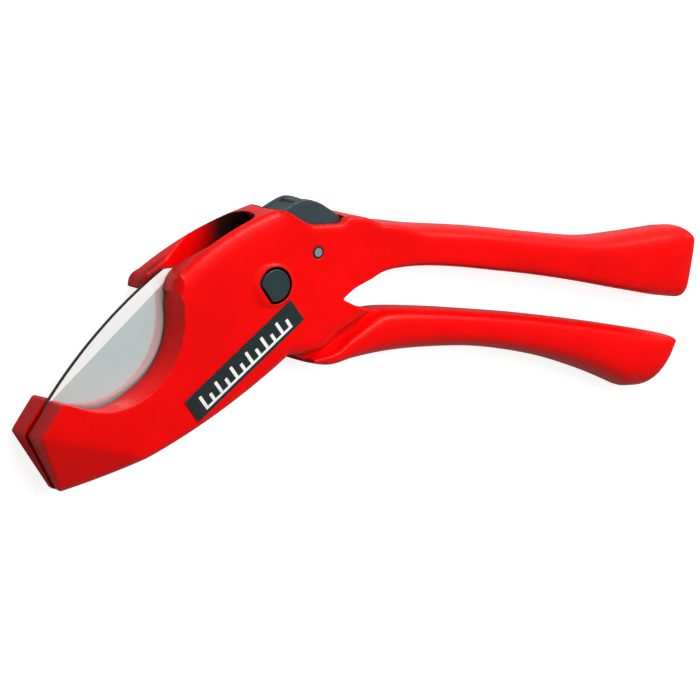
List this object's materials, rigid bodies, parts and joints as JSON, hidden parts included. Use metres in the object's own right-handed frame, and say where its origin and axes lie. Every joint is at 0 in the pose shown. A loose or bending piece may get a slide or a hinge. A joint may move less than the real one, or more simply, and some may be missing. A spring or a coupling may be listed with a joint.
{
  "type": "ratchet pipe shear",
  "caption": "One-hand ratchet shear for plastic pipe: hooked jaw, swinging knife blade, fixed upper handle and a squeezed lower handle with a release lever.",
  "frame": {"origin": "middle of the underside: the tool lies flat on its far cheek", "axes": "+X along the handles away from the jaw, +Y from the lower handle to the upper one, +Z from the far cheek to the near cheek"},
  "size_m": [0.2234, 0.075, 0.0187],
  "materials": {
    "red_coat": "fine-textured satin powder coat on light-alloy castings",
    "blade_steel": "polished stainless blade steel",
    "bright_steel": "turned bright steel",
    "dark_steel": "dark oiled steel",
    "spring_steel": "drawn spring wire",
    "slate_plastic": "satin moulded slate-grey plastic",
    "label_black": "printed black label with plain white bars"
  },
  "bodies": {
    "frame": {"far_frame": "red_coat", "near_cheek": "red_coat", "main_pivot_bolt": "dark_steel", "pivot_washer": "bright_steel", "pivot_nut": "bright_steel", "pivot_sleeve": "bright_steel", "near_thrust_washer": "bright_steel", "far_thrust_washer": "bright_steel", "lever_pin": "dark_steel", "handle_stop_pin": "bright_steel", "cover_screw_1": "dark_steel", "cover_screw_2": "dark_steel", "cover_screw_3": "dark_steel", "cover_screw_4": "dark_steel", "label_plate": "label_black", "handle_spring": "spring_steel", "blade_spring": "spring_steel", "lever_spring": "spring_steel"},
    "blade": {"blade": "blade_steel"},
    "handle": {"lower_handle": "red_coat", "pawl_pin": "bright_steel", "pawl_spring": "spring_steel"},
    "pawl": {"drive_pawl": "dark_steel"},
    "lever": {"release_lever": "slate_plastic", "holding_pawl": "dark_steel", "lever_cross_pin": "bright_steel"}
  },
  "joints": [
    {"name": "blade_hinge", "type": "hinge", "parent": "frame", "child": "blade", "pos_m": [-0.03765, 0.01465, 0.009], "axis": [0, 0, 1], "range_deg": [-52, 0], "deforming": ["blade_spring"]},
    {"name": "handle_hinge", "type": "hinge", "parent": "frame", "child": "handle", "pos_m": [-0.03765, 0.01465, 0.009], "axis": [0, 0, 1], "range_deg": [-26, 0], "deforming": ["handle_spring"]},
    {"name": "lever_hinge", "type": "hinge", "parent": "frame", "child": "lever", "pos_m": [-0.02325, 0.02275, 0.009], "axis": [0, 0, 1], "range_deg": [0, 8.5], "deforming": ["lever_spring"]},
    {"name": "pawl_hinge", "type": "hinge", "parent": "handle", "child": "pawl", "pos_m": [-0.03075, -0.00085, 0.009], "axis": [0, 0, 1], "range_deg": [0, 10], "deforming": ["pawl_spring"]}
  ]
}
